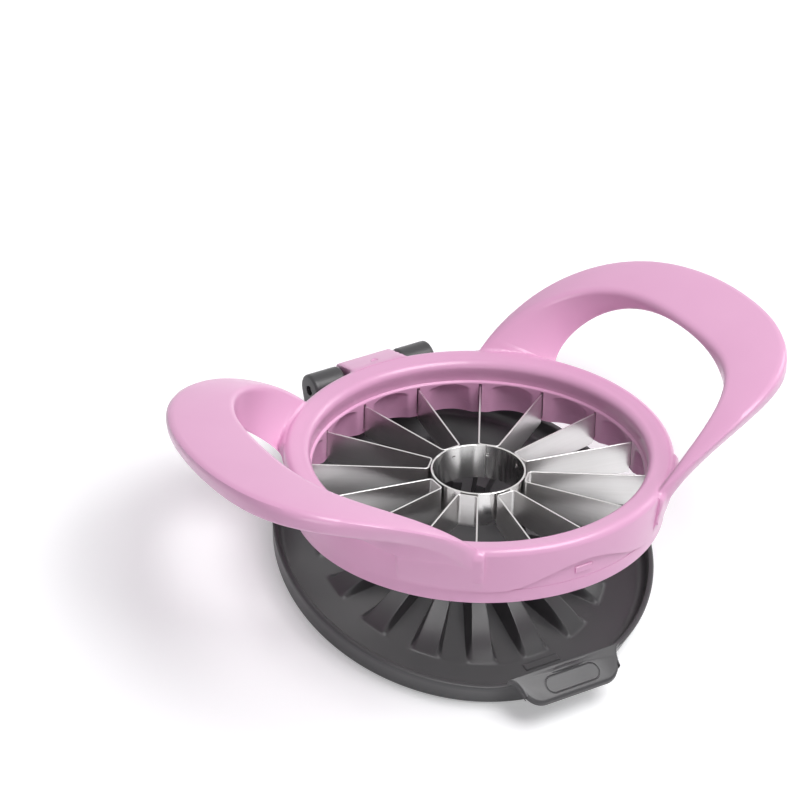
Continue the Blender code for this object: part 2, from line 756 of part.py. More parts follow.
def build_base():
    """The tray with its raised front rim, tab, hinge lugs and ridges."""
    base = base_body()
    additions = [rim_wave(), finger_tab(), hinge_lugs()]
    for item in additions:
        combine(base, item, "UNION")
    cuts = [base_cavity(), pin_hole("base_pin_hole")]
    for item in cuts:
        combine(base, item, "DIFFERENCE")
    features = floor_features()
    for item in features:
        combine(base, item, "UNION")
    for item in [base, *additions, *cuts, *features]:
        item.location.z = -BASE_UNDERSIDE


def build_pin():
    """The steel pin through both lugs and the boss."""
    outline = hinge_arc(PIN_RADIUS, 0, 2 * math.pi * (1 - 1 / SMALL_SEGMENTS), SMALL_SEGMENTS - 1)
    half = LUG_OUTER - PIN_SETBACK
    shape = bmesh.new()
    points = [Vector((0, y, z)) for y, z in outline]
    extrude_outline(shape, points, Vector((-half, 0, 0)), Vector((half, 0, 0)))
    pin = make_object("hinge_pin", shape, PIN_STEEL)
    pin.location.z = -BASE_UNDERSIDE


def build():
    clear_scene()
    pivot = bpy.data.objects.new("head_pivot", None)
    bpy.context.scene.collection.objects.link(pivot)
    pivot.location = (0, HINGE_Y, HINGE_HEIGHT - BASE_UNDERSIDE)
    pivot.rotation_euler.x = -OPEN_ANGLE
    build_frame(pivot)
    build_retainer(pivot)
    build_core_ring(pivot)
    build_blade_strips(pivot)
    build_base()
    build_pin()


build()
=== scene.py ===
"""Looks of the apple slicer: a moulded ring with two loop handles over a hinged dark tray.

Each section makes one piece in the order in which the slicer is put together. Lengths are in
millimetres times MM. The head's own frame has its origin at the middle of the core ring's top edge
and its Z along the ring's axis; head_place takes it to the frame of the whole part.
"""

import json
import math

import bmesh
import bpy
from mathutils import Matrix, Vector


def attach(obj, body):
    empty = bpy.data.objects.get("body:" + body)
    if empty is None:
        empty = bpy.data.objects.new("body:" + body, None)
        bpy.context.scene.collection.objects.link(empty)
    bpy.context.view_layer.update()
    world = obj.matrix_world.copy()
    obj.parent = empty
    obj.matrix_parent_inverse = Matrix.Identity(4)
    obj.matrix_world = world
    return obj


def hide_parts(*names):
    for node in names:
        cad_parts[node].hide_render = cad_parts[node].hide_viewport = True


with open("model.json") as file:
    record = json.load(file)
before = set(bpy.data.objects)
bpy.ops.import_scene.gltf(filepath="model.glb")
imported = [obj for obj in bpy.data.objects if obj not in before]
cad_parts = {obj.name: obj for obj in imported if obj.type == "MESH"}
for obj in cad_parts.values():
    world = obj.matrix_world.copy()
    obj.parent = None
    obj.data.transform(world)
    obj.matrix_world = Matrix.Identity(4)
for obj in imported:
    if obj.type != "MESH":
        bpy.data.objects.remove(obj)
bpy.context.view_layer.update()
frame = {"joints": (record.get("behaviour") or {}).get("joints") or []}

# Base tray. The real one is a single dark moulding: a shallow dish with sixteen wedge ridges that
# push the apple out between the blades, a raised front rim with a finger tab, and two hinge lugs.
MM = 0.001
WEDGES = 16
FLOOR = 3.4 * MM
RIM = 9.2 * MM
TRAY_RADIUS = 57.0 * MM
TRAY_WALL = 1.8 * MM
TRAY_DRAFT = 1.4 * MM
FLOOR_ROUND = 3.0 * MM
FOOT_ROUND = 1.6 * MM
RIM_ROUND = 0.55 * MM
FRONT = -math.pi / 2
RIM_WAVE_RISE = 5.2 * MM
RIM_WAVE_HALF_ANGLE = math.radians(25)
DARK_GREY = (0.052, 0.050, 0.053, 1)
DARK_GREY_CLOUD = (0.046, 0.045, 0.048, 1)
RIDGE_START = 17.4 * MM
RIDGE_END = 45.0 * MM
RIDGE_HEIGHT = 9.2 * MM


class Wire:
    """A socket in a node tree. Arithmetic on it adds maths nodes to that tree."""

    def __init__(self, tree, socket=None):
        self.tree = tree
        self.socket = socket

    def node(self, kind, settings, values, output=0):
        """Adds a node: its settings first, then the value or the link of each socket."""
        made = self.tree.nodes.new(kind)
        for name, setting in settings.items():
            setattr(made, name, setting)
        for key, value in values.items():
            if isinstance(value, Wire):
                self.tree.links.new(value.socket, made.inputs[key])
            else:
                made.inputs[key].default_value = value
        return Wire(self.tree, made.outputs[output])

    def maths(self, operation, *values):
        sockets = dict(enumerate(values))
        return self.node("ShaderNodeMath", {"operation": operation}, sockets)

    def __add__(self, other):
        return self.maths("ADD", self, other)

    def __sub__(self, other):
        return self.maths("SUBTRACT", self, other)

    def __rsub__(self, other):
        return self.maths("SUBTRACT", other, self)

    def __mul__(self, other):
        return self.maths("MULTIPLY", self, other)

    def __truediv__(self, other):
        return self.maths("DIVIDE", self, other)

    def __rtruediv__(self, other):
        return self.maths("DIVIDE", other, self)

    __radd__ = __add__
    __rmul__ = __mul__

    def scaled(self, low, high, to_low=0.0, to_high=1.0):
        """The value taken from one range to another, kept inside it and eased at both ends."""
        settings = {"interpolation_type": "SMOOTHSTEP"}
        values = {"Value": self, "From Min": low, "From Max": high}
        values.update({"To Min": to_low, "To Max": to_high})
        return self.node("ShaderNodeMapRange", settings, values)


def new_finish(name):
    """A material with its shader, and a wire of the piece's own coordinates."""
    material = bpy.data.materials.new(name)
    material.use_nodes = True
    shader = material.node_tree.nodes["Principled BSDF"]
    place = Wire(material.node_tree).node("ShaderNodeTexCoord", {}, {}, "Object")
    return material, shader, place


def noise(place, per_metre, detail=2.0, roughness=0.5):
    """Cloudy noise with about so many clouds to the metre."""
    values = {"Vector": place, "Scale": per_metre, "Detail": detail, "Roughness": roughness}
    return place.node("ShaderNodeTexNoise", {"noise_dimensions": "3D"}, values, "Fac")


def feed(shader, name, wire):
    """Links a wire to one of a shader's own sockets."""
    wire.tree.links.new(wire.socket, shader.inputs[name])


def blend(share, first, second):
    """A colour between two others, or between a wire and a colour."""
    return share.node("ShaderNodeMix", {"data_type": "RGBA"}, {0: share, 6: first, 7: second}, 2)


def moulded_plastic(name, colour, shade, sheen, grain_per_metre, grain_depth):
    """Moulded plastic: cloudy colour, handled patches in the gloss, and the mould's fine grain."""
    material, shader, place = new_finish(name)
    cloud = noise(place, 38, 3)
    patch = noise(place, 95, 4, 0.62)
    feed(shader, "Base Color", blend(cloud.scaled(0.3, 0.7), colour, shade))
    feed(shader, "Roughness", patch.scaled(0.25, 0.8, sheen[0], sheen[1]))
    grain = noise(place, grain_per_metre, 3, 0.6)
    values = {"Strength": 1.0, "Distance": grain_depth, "Height": grain}
    feed(shader, "Normal", place.node("ShaderNodeBump", {}, values))
    return material, shader


def smooth_by_angle(mesh):
    """Smooth shading, but for the edges that are sharp on the real piece."""
    mesh.shade_smooth()
    mesh.set_sharp_from_angle(angle=math.radians(32))


def solid(name, shape):
    """An object from a mesh under construction, with merged points and faces pointing out."""
    bmesh.ops.remove_doubles(shape, verts=shape.verts, dist=0.0005 * MM)
    bmesh.ops.recalc_face_normals(shape, faces=shape.faces)
    mesh = bpy.data.meshes.new(name)
    shape.to_mesh(mesh)
    shape.free()
    item = bpy.data.objects.new(name, mesh)
    bpy.context.scene.collection.objects.link(item)
    return item


def settle(item):
    """Turns an object's modifiers into its plain mesh."""
    bpy.context.view_layer.update()
    settled = item.evaluated_get(bpy.context.evaluated_depsgraph_get())
    mesh = bpy.data.meshes.new_from_object(settled)
    item.modifiers.clear()
    item.data = mesh
    return item


def combine(item, other, operation):
    """Joins or cuts one closed solid with another, which is used up."""
    modifier = item.modifiers.new(operation, "BOOLEAN")
    modifier.operation = operation
    modifier.solver = "EXACT"
    modifier.object = other
    settle(item)
    bpy.data.objects.remove(other, do_unlink=True)
    return item


def polar(radius, angle, height):
    """A point by its distance from the Z axis, its angle round it and its height."""
    return Vector((radius * math.cos(angle), radius * math.sin(angle), height))


def arc(centre, radius, first, last, steps):
    """Points of a circle in a plane, from one angle in degrees to another."""
    turns = [math.radians(first + (last - first) * i / steps) for i in range(steps + 1)]
    return [(centre[0] + radius * math.cos(t), centre[1] + radius * math.sin(t)) for t in turns]


def skin(shape, outlines, closed=False):
    """Joins matched outlines one after the other, with both ends closed or joined."""
    rows = [[shape.verts.new(point) for point in outline] for outline in outlines]
    pairs = list(zip(rows, rows[1:]))
    if closed:
        pairs.append((rows[-1], rows[0]))
    for lower, upper in pairs:
        for i, vert in enumerate(lower):
            after = (i + 1) % len(lower)
            shape.faces.new((vert, lower[after], upper[after], upper[i]))
    if not closed:
        shape.faces.new(rows[0])
        shape.faces.new(rows[-1])


def front_wave(angle, half_angle, rise):
    """Height of a smooth hump in the middle of the front, zero beyond its ends."""
    offset = (angle - FRONT + math.pi) % (2 * math.pi) - math.pi
    if abs(offset) >= half_angle:
        return 0.0
    return rise * (1 + math.cos(math.pi * offset / half_angle)) / 2


def tray_angles():
    """Columns round the tray, close together on the flanks of the ridges."""
    half = [0, 0.030, 0.055, 0.066, 0.0715, 0.0767, 0.082, 0.0875, 0.093, 0.0985, 0.104, 0.108,
            0.1116, 0.116, 0.121, 0.130, 0.150, 0.175]
    pitch = 2 * math.pi / WEDGES
    shares = half + [pitch - value for value in reversed(half[1:])]
    shares.insert(len(half), pitch / 2)
    return [pitch * k + value for k in range(WEDGES) for value in shares]


def tray_rows():
    """Rows of the tray's skin from the middle of its floor over the rim to the middle underneath.

    Each is a radius, a height, a share of the rim's wave and a share of the ridges' height.
    """
    radii = [4, 8, 12, 15, 16.4, 17.0, 17.4, 17.8, 18.2, 18.6, 19.1, 19.8, 21, 23, 25.5, 28, 30.5,
             33, 35.5, 38, 40, 41.4, 42.2, 42.7, 43.2, 43.6, 44, 44.4, 44.8, 45.3, 46, 47.2, 49,
             51.5]
    rows = [(radius * MM, FLOOR, 0, 1) for radius in radii]
    inner = TRAY_RADIUS - FLOOR_ROUND
    rows += [(r, z, 0, 0) for r, z in arc((inner, FLOOR + FLOOR_ROUND), FLOOR_ROUND, -90, 0, 8)]
    top = RIM - RIM_ROUND
    rows += [(TRAY_RADIUS, top, 1, 0)]
    rows += [(r, z, 1, 0) for r, z in arc((TRAY_RADIUS + RIM_ROUND, top), RIM_ROUND, 150, 90, 3)]
    outer = TRAY_RADIUS + TRAY_WALL
    rows += [(r, z, 1, 0) for r, z in arc((outer - RIM_ROUND, top), RIM_ROUND, 90, 0, 4)]
    foot = outer - TRAY_DRAFT
    rows += [(outer - TRAY_DRAFT * 0.35, RIM - 2.4 * MM, 0, 0)]
    rows += [(r, z, 0, 0) for r, z in arc((foot - FOOT_ROUND, FOOT_ROUND), FOOT_ROUND, 0, -90, 6)]
    rows += [(foot - 12 * MM, 0, 0, 0), (foot - 30 * MM, 0, 0, 0), (6 * MM, 0, 0, 0)]
    return rows


def tray_skin():
    """The closed dish before its ridges rise, with their share of each point as an attribute."""
    shape = bmesh.new()
    lift = shape.verts.layers.float.new("ridge_share")
    angles = tray_angles()
    rows = []
    for radius, height, wave_share, ridge_share in tray_rows():
        row = []
        for angle in angles:
            rise = wave_share * front_wave(angle, RIM_WAVE_HALF_ANGLE, RIM_WAVE_RISE)
            vert = shape.verts.new(polar(radius, angle, height + rise))
            vert[lift] = ridge_share
            row.append(vert)
        rows.append(row)
    for lower, upper in zip(rows, rows[1:]):
        for i, vert in enumerate(lower):
            after = (i + 1) % len(lower)
            shape.faces.new((vert, lower[after], upper[after], upper[i]))
    for row, height in ((rows[0], FLOOR), (rows[-1], 0)):
        middle = shape.verts.new((0, 0, height))
        for i, vert in enumerate(row):
            shape.faces.new((vert, row[(i + 1) % len(row)], middle))
    return solid("tray", shape)


def new_geometry_tree(name, inputs):
    """A geometry tree and the wires of its named inputs. Each input is a name and a socket type."""
    tree = bpy.data.node_groups.new(name, "GeometryNodeTree")
    tree.interface.new_socket(name="Geometry", in_out="OUTPUT", socket_type="NodeSocketGeometry")
    every = [("Geometry", "NodeSocketGeometry"), *inputs, ("Material", "NodeSocketMaterial")]
    for title, kind in every:
        tree.interface.new_socket(name=title, in_out="INPUT", socket_type=kind)
    source = tree.nodes.new("NodeGroupInput")
    wires = {socket.name: Wire(tree, socket) for socket in source.outputs if socket.name}
    return tree, wires


def end_geometry_tree(wires, result):
    """Ends a tree in Realize Instances and Set Material."""
    whole = result.node("GeometryNodeRealizeInstances", {}, {"Geometry": result})
    values = {"Geometry": whole, "Material": wires["Material"]}
    finished = whole.node("GeometryNodeSetMaterial", {}, values)
    sink = finished.tree.nodes.new("NodeGroupOutput")
    finished.tree.links.new(finished.socket, sink.inputs["Geometry"])


def grow(item, tree, values, material=None):
    """Runs a geometry tree on an object and keeps the result as its plain mesh."""
    modifier = item.modifiers.new(tree.name, "NODES")
    modifier.node_group = tree
    for socket in tree.interface.items_tree:
        if socket.in_out == "INPUT" and socket.name in values:
            modifier[socket.identifier] = values[socket.name]
        if socket.in_out == "INPUT" and socket.name == "Material" and material:
            modifier[socket.identifier] = material
    return settle(item)


def ridge_tree():
    """Raises the ridges: narrow and high inside, wider and falling to nothing outside."""
    kinds = ("Ridges", "Start", "End", "Height", "Fall power", "Crest share", "Foot share",
             "End slope", "Softness")
    tree, inputs = new_geometry_tree("tray_ridges", [(kind, "NodeSocketFloat") for kind in kinds])
    start = Wire(tree)
    place = start.node("GeometryNodeInputPosition", {}, {})
    axes = [start.node("ShaderNodeSeparateXYZ", {}, {0: place}, name) for name in "XYZ"]
    flat = start.node("ShaderNodeCombineXYZ", {}, {0: axes[0], 1: axes[1]})
    radius = start.node("ShaderNodeVectorMath", {"operation": "LENGTH"}, {0: flat}, "Value")
    angle = start.maths("ARCTAN2", axes[1], axes[0])
    pitch = 2 * math.pi / inputs["Ridges"]
    local = angle - start.maths("ROUND", angle / pitch) * pitch
    along = radius * start.maths("COSINE", local)
    across = start.maths("ABSOLUTE", radius * start.maths("SINE", local))
    fall = start.maths("POWER", along / inputs["End"], inputs["Fall power"])
    crest = inputs["Height"] * (1 - fall)
    slope_share = inputs["Foot share"] - inputs["Crest share"]
    flank = (along * inputs["Foot share"] - across) / (along * slope_share)
    inner_end = (along - inputs["Start"]) / inputs["End slope"]
    softness = inputs["Softness"]
    height = start.maths("SMOOTH_MIN", flank * crest, crest, softness)
    height = start.maths("SMOOTH_MIN", height, inner_end * crest, softness)
    height = start.maths("SMOOTH_MAX", height, 0.0, softness)
    settings = {"data_type": "FLOAT"}
    wanted = {"Name": "ridge_share"}
    mask = start.node("GeometryNodeInputNamedAttribute", settings, wanted, "Attribute")
    offset = start.node("ShaderNodeCombineXYZ", {}, {"Z": height * mask})
    values = {"Geometry": inputs["Geometry"], "Offset": offset}
    end_geometry_tree(inputs, start.node("GeometryNodeSetPosition", {}, values))
    return tree


tray_plastic, _ = moulded_plastic(
    "dark_moulded_plastic", DARK_GREY, DARK_GREY_CLOUD, (0.33, 0.42), 3200, 0.004 * MM)
tray = grow(tray_skin(), ridge_tree(), {
    "Ridges": float(WEDGES),
    "Start": RIDGE_START,
    "End": RIDGE_END,
    "Height": RIDGE_HEIGHT,
    "Fall power": 3.0,
    "Crest share": 0.0778,
    "Foot share": 0.1089,
    "End slope": 1.0 * MM,
    "Softness": 0.6 * MM,
}, tray_plastic)

# Finger tab. It is moulded with the tray, slopes down a little from the raised rim, and has a
# pill-shaped line engraved in its top, left empty.
TAB_HALF_WIDTH = 16.8 * MM
TAB_REACH = 65.6 * MM
TAB_CORNER = 6.0 * MM
TAB_FLARE = 3.0 * MM
TAB_THICKNESS = 2.4 * MM
TAB_EDGE = 0.7 * MM
TAB_CREST = 14.1 * MM
TAB_OVERLAP = 0.6 * MM
TAB_DROP = 3.0 * MM
PILL_HALF_LENGTH = 9.2 * MM
PILL_RADIUS = 2.5 * MM
PILL_MIDDLE = -61.6 * MM
PILL_LINE_RADIUS = 0.3 * MM
PILL_LINE_LIFT = 0.05 * MM


def tab_height(y):
    """Height of the tab's sloping top."""
    share = (-y - TRAY_RADIUS) / (TAB_REACH - TRAY_RADIUS)
    return TAB_CREST - TAB_DROP * max(share, 0)


def tab_outline(inset):
    """Half of the tab's edge seen from above, mirrored to a whole, with fine round corners."""
    root = -(TRAY_RADIUS - TAB_OVERLAP)
    half = TAB_HALF_WIDTH - inset
    corner = TAB_CORNER - inset
    points = []
    for i in range(7):
        turn = math.pi / 2 * i / 6
        x = half + TAB_FLARE * (1 - math.sin(turn))
        points.append((x, root - 2 * TAB_FLARE * (1 - math.cos(turn))))
    points += arc((half - corner, -TAB_REACH + inset + corner), corner, 0, -90, 12)
    return points + [(-x, y) for x, y in reversed(points)]


def finger_tab():
    """The tab as a stack of outlines, its upper edge rounded and its lower edge broken."""
    shape = bmesh.new()
    layers = []
    for inset, depth in [(TAB_EDGE, TAB_THICKNESS), (0, TAB_THICKNESS - TAB_EDGE)]:
        layers.append([Vector((x, y, tab_height(y) - depth)) for x, y in tab_outline(inset)])
    for turn in range(0, 91, 18):
        inset = TAB_EDGE * (1 - math.cos(math.radians(turn)))
        depth = TAB_EDGE * (1 - math.sin(math.radians(turn)))
        layers.append([Vector((x, y, tab_height(y) - depth)) for x, y in tab_outline(inset)])
    skin(shape, layers)
    return solid("finger_tab", shape)


def groove_tree():
    """A round bar along a closed path, to press a groove with."""
    tree, inputs = new_geometry_tree("groove_along_path", [("Radius", "NodeSocketFloat")])
    start = Wire(tree)
    path = start.node("GeometryNodeMeshToCurve", {}, {"Mesh": inputs["Geometry"]})
    values = {"Radius": inputs["Radius"], "Resolution": 10}
    bar = start.node("GeometryNodeCurvePrimitiveCircle", {}, values)
    tube = start.node("GeometryNodeCurveToMesh", {}, {"Curve": path, "Profile Curve": bar})
    end_geometry_tree(inputs, tube)
    return tree


def pill_groove():
    """The bar that presses the pill-shaped line into the tab."""
    shape = bmesh.new()
    straight = PILL_HALF_LENGTH - PILL_RADIUS
    flat = arc((straight, PILL_MIDDLE), PILL_RADIUS, -90, 90, 14)
    flat += arc((-straight, PILL_MIDDLE), PILL_RADIUS, 90, 270, 14)
    verts = [shape.verts.new((x, y, tab_height(y) + PILL_LINE_LIFT)) for x, y in flat]
    for i, vert in enumerate(verts):
        shape.edges.new((vert, verts[(i + 1) % len(verts)]))
    return grow(solid("pill_groove", shape), groove_tree(), {"Radius": PILL_LINE_RADIUS})


combine(tray, finger_tab(), "UNION")
combine(tray, pill_groove(), "DIFFERENCE")

# Hinge lugs. They stand up from the back of the tray, in one piece with it, and hold the ends of
# the pin. A low rib behind the tab is moulded in too.
joint = frame["joints"][0]
HINGE = Vector(joint["pos_m"])
LUG_INNER = 10.4 * MM
LUG_OUTER = 21.5 * MM
LUG_RADIUS = 5.0 * MM
LUG_SOFTNESS = 1.2 * MM
LUG_ROOT = 0.8 * MM
LUG_SHOULDER = RIM - 0.3 * MM
LUG_FOOT = FLOOR + 1.0 * MM
RIB_HALF_LENGTH = 6.0 * MM
RIB_FRONT = -48.8 * MM
RIB_BACK = -46.4 * MM
RIB_HEIGHT = 0.4 * MM
RIB_EDGE = 0.3 * MM
PIN_RADIUS = 1.5 * MM
PIN_PLAY = 0.1 * MM


def hinge_lug(side):
    """A lug, round about the pin. Its root follows the wall and stands a little proud inside it."""
    top = [(y, z) for y, z in arc((HINGE.y, HINGE.z), LUG_RADIUS, -36, 180, 24)]
    top.append((HINGE.y - LUG_RADIUS, LUG_SHOULDER))
    outlines = []
    for i in range(9):
        x = LUG_INNER + (LUG_OUTER - LUG_INNER) * i / 8
        inside = math.sqrt((TRAY_RADIUS - LUG_ROOT) ** 2 - x * x)
        outline = top + [(inside, LUG_SHOULDER), (inside, LUG_FOOT), (TRAY_RADIUS, FLOOR)]
        outlines.append([Vector((side * x, y, z)) for y, z in outline])
    shape = bmesh.new()
    skin(shape, outlines[::side])
    lug = solid("hinge_lug", shape)
    bevel = lug.modifiers.new("softened ends", "BEVEL")
    bevel.width = LUG_SOFTNESS
    bevel.segments = 5
    bevel.limit_method = "ANGLE"
    bevel.angle_limit = math.radians(70)
    return settle(lug)


def floor_rib():
    """The low rib across the floor, with its upper edges broken."""
    shape = bmesh.new()
    layers = []
    for inset, lift in ((0, -1 * MM), (0, 0.2 * MM), (RIB_EDGE, RIB_HEIGHT)):
        x = RIB_HALF_LENGTH - inset
        front = RIB_FRONT + inset
        back = RIB_BACK - inset
        corners = ((-x, front), (x, front), (x, back), (-x, back))
        layers.append([Vector((*corner, FLOOR + lift)) for corner in corners])
    skin(shape, layers)
    return solid("floor_rib", shape)


def hinge_rod(name, radius, half_length, dome=0.0):
    """A round rod on the hinge axis, with domed ends where dome is given."""
    shape = bmesh.new()
    stations = [(-half_length, 0.0), (half_length, 0.0)]
    if dome:
        turns = [math.radians(degrees) for degrees in (0, 30, 60, 80)]
        rise = [(dome * math.sin(turn), 1 - math.cos(turn)) for turn in turns]
        stations = [(-half_length + dome - step, inset) for step, inset in reversed(rise)]
        stations += [(half_length - dome + step, inset) for step, inset in rise]
    outlines = []
    for x, inset in stations:
        ring = arc((HINGE.y, HINGE.z), radius * (1 - inset), 0, 345, 23)
        outlines.append([Vector((x, y, z)) for y, z in ring])
    skin(shape, outlines)
    return solid(name, shape)


for lug_side in (1, -1):
    combine(tray, hinge_lug(lug_side), "UNION")
combine(tray, floor_rib(), "UNION")
combine(tray, hinge_rod("lug_bore", PIN_RADIUS + PIN_PLAY, LUG_OUTER + 1 * MM), "DIFFERENCE")
smooth_by_angle(tray.data)
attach(tray, "base")
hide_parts("base")

# Hinge pin. A drawn steel rod, pressed through both lugs, on which the ring's boss turns. Its domed
# ends lie a little below the outer faces of the lugs.
PIN_RECESS = 0.9 * MM
PIN_DOME = 0.5 * MM
PIN_GREY = (0.34, 0.34, 0.35, 1)
pin_steel, pin_shader, pin_place = new_finish("drawn_steel")
pin_shader.inputs["Base Color"].default_value = PIN_GREY
pin_shader.inputs["Metallic"].default_value = 1.0
feed(pin_shader, "Roughness", noise(pin_place, 900, 3).scaled(0.2, 0.8, 0.30, 0.42))
pin = hinge_rod("pin", PIN_RADIUS, LUG_OUTER - PIN_RECESS, PIN_DOME)
pin.data.materials.append(pin_steel)
smooth_by_angle(pin.data)
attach(pin, "base")
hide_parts("hinge_pin")

# Blade strips. Eight strips of thin stainless steel, each folded twice: its middle facet is welded
# to the core ring and its two blades run out into slots in the ring.
OPEN_ANGLE = math.radians(19.0)
HEAD_PIVOT = Vector((0, 62.0 * MM, 1.6 * MM))
opened = Matrix.Rotation(-OPEN_ANGLE, 4, "X")
head_place = Matrix.Translation(HINGE) @ opened @ Matrix.Translation(-HEAD_PIVOT)
PITCH = 2 * math.pi / WEDGES
CORE_RADIUS = 14.2 * MM
STRIP_THICKNESS = 0.5 * MM
STRIP_TOP = -0.35 * MM
STRIP_BOTTOM = -10.85 * MM
STRIP_GRIND = 0.9 * MM
STRIP_NICK = 0.06 * MM
WELD_GAP = 0.3 * MM
TIP_RADIUS = 52.0 * MM
HEEL_RADIUS = 49.2 * MM
NOTCH_HEIGHT = -8.6 * MM
FOLD_RADIUS = 1.1 * MM
BLADE_GREY = (0.70, 0.69, 0.685, 1)
BLADE_HAZE = (0.66, 0.65, 0.64, 1)


def strip_path():
    """Middle line of half a strip, from the facet's middle to the tip: (x, y), normal and foot."""
    reach = CORE_RADIUS + WELD_GAP + STRIP_THICKNESS / 2
    ray = Vector((math.cos(PITCH / 2), math.sin(PITCH / 2)))
    bend = ray * (reach / math.cos(PITCH / 2))
    turn = math.radians(90) - PITCH / 2
    setback = FOLD_RADIUS * math.tan(turn / 2)
    centre = Vector((reach + FOLD_RADIUS, bend.y - setback))
    path = [(Vector((reach, bend.y * share)), Vector((-1, 0))) for share in (0, 0.3, 0.6)]
    for i in range(7):
        angle = math.pi - turn * i / 6
        normal = Vector((math.cos(angle), math.sin(angle)))
        path.append((centre + normal * FOLD_RADIUS, normal))
    normal = Vector((-ray.y, ray.x))
    for radius in (22 * MM, 30 * MM, 38 * MM, 45 * MM, HEEL_RADIUS - 0.01 * MM):
        path.append((ray * radius, normal))
    stations = [(point, normal_at, STRIP_BOTTOM) for point, normal_at in path]
    stations.append((ray * HEEL_RADIUS, normal, NOTCH_HEIGHT - 0.4 * MM))
    stations.append((ray * (HEEL_RADIUS + 0.4 * MM), normal, NOTCH_HEIGHT))
    stations.append((ray * TIP_RADIUS, normal, NOTCH_HEIGHT))
    return stations


def blade_strip():
    """One strip centred on the X axis, its edges just broken and its lower edge ground sharp."""
    half = STRIP_THICKNESS / 2
    nick = STRIP_NICK
    outlines = []
    path = strip_path()
    mirrored = [(Vector((p.x, -p.y)), Vector((n.x, -n.y)), foot) for p, n, foot in path[:0:-1]]
    for point, normal, foot in mirrored + path:
        sharp = foot == STRIP_BOTTOM
        edge = 0.05 * MM if sharp else half - nick
        grind = STRIP_GRIND if sharp else nick
        section = [
            (-half + nick, STRIP_TOP), (half - nick, STRIP_TOP), (half, STRIP_TOP - nick),
            (half, foot + grind), (edge, foot), (-edge, foot), (-half, foot + grind),
            (-half, STRIP_TOP - nick),
        ]
        outlines.append([Vector((*(point + normal * side), height)) for side, height in section])
    shape = bmesh.new()
    skin(shape, outlines)
    return solid("blade_strips", shape)


def copies_tree():
    """Copies of the piece turned evenly about the Z axis."""
    kinds = [("Copies", "NodeSocketInt"), ("First angle", "NodeSocketFloat")]
    tree, inputs = new_geometry_tree("copies_round_the_axis", kinds)
    start = Wire(tree)
    points = start.node("GeometryNodePoints", {}, {"Count": inputs["Copies"]})
    index = start.node("GeometryNodeInputIndex", {}, {})
    angle = index / inputs["Copies"] * (2 * math.pi) + inputs["First angle"]
    values = {"Axis": (0, 0, 1), "Angle": angle}
    turn = start.node("FunctionNodeAxisAngleToRotation", {}, values)
    values = {"Points": points, "Instance": inputs["Geometry"], "Rotation": turn}
    end_geometry_tree(inputs, start.node("GeometryNodeInstanceOnPoints", {}, values))
    return tree


def rolled_steel(name, colour, sheen, stretch, haze):
    """Stainless strip: fine rolling lines along the strip and a soft haze of handling marks."""
    material, shader, place = new_finish(name)
    shader.inputs["Metallic"].default_value = 1.0
    values = {"Vector": place, "Rotation": (OPEN_ANGLE, 0, 0)}
    level = place.node("ShaderNodeMapping", {}, values)
    values = {"Vector": level, "Scale": stretch}
    lines = noise(level.node("ShaderNodeMapping", {}, values), 1.0, 2, 0.5)
    cloud = noise(place, 60, 2, 0.5)
    feed(shader, "Base Color", blend((lines * 0.5 + cloud * 0.5).scaled(0.3, 0.7), colour, haze))
    feed(shader, "Roughness", cloud.scaled(0.3, 0.7, sheen[0], sheen[1]))
    return material


copies_round_the_axis = copies_tree()
blade_steel = rolled_steel(
    "rolled_stainless", BLADE_GREY, (0.29, 0.33), (20, 20, 1600), BLADE_HAZE)
eight_round = {"Copies": WEDGES // 2, "First angle": 0.0}
blades = grow(blade_strip(), copies_round_the_axis, eight_round, blade_steel)
blades.data.transform(head_place)
smooth_by_angle(blades.data)
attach(blades, "head")
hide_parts(*["blade_strip_%d" % (i + 1) for i in range(WEDGES // 2)])

# Core ring. A strip of stainless steel rolled round, butted together, welded to the facets inside
# the blades and ground sharp below.
CORE_WALL = 0.6 * MM
CORE_HEIGHT = 11.3 * MM
SEAM_ANGLE = math.radians(47)
SEAM_GAP = 0.3 * MM
CORE_NICK = 0.08 * MM
WELD_HEIGHT = -3.2 * MM
CORE_GREY = (0.74, 0.73, 0.72, 1)
CORE_HAZE = (0.68, 0.67, 0.66, 1)


def core_strip():
    """The strip rolled round, from one side of its seam to the other."""
    inner = CORE_RADIUS - CORE_WALL
    nick = CORE_NICK
    profile = [
        (CORE_RADIUS, -nick), (CORE_RADIUS - nick, 0), (inner + nick, 0), (inner, -nick),
        (inner, -CORE_HEIGHT), (inner + 0.1 * MM, -CORE_HEIGHT),
        (CORE_RADIUS, -CORE_HEIGHT + 0.9 * MM),
    ]
    gap = SEAM_GAP / CORE_RADIUS
    outlines = []
    for i in range(161):
        angle = SEAM_ANGLE + gap / 2 + (2 * math.pi - gap) * i / 160
        outlines.append([polar(radius, angle, height) for radius, height in profile])
    shape = bmesh.new()
    skin(shape, outlines)
    return solid("core", shape)


def weld_mark():
    """A shallow button left by a spot weld on the inside of the core ring."""
    shape = bmesh.new()
    across = CORE_RADIUS - CORE_WALL
    outlines = []
    for size, stand in ((0.62, -0.2), (0.62, 0.02), (0.5, 0.10), (0.28, 0.07), (0.1, 0.03)):
        ring = arc((0, WELD_HEIGHT), size * MM, 0, 337.5, 15)
        outlines.append([Vector((across - stand * MM, y, z)) for y, z in ring])
    skin(shape, outlines)
    return solid("weld_marks", shape)


core_steel = rolled_steel(
    "polished_stainless", CORE_GREY, (0.14, 0.19), (700, 700, 8), CORE_HAZE)
core = core_strip()
core.data.materials.append(core_steel)
welds = grow(weld_mark(), copies_round_the_axis, eight_round, core_steel)
for piece in (core, welds):
    piece.data.transform(head_place)
    smooth_by_angle(piece.data)
    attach(piece, "head")
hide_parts("core_ring")

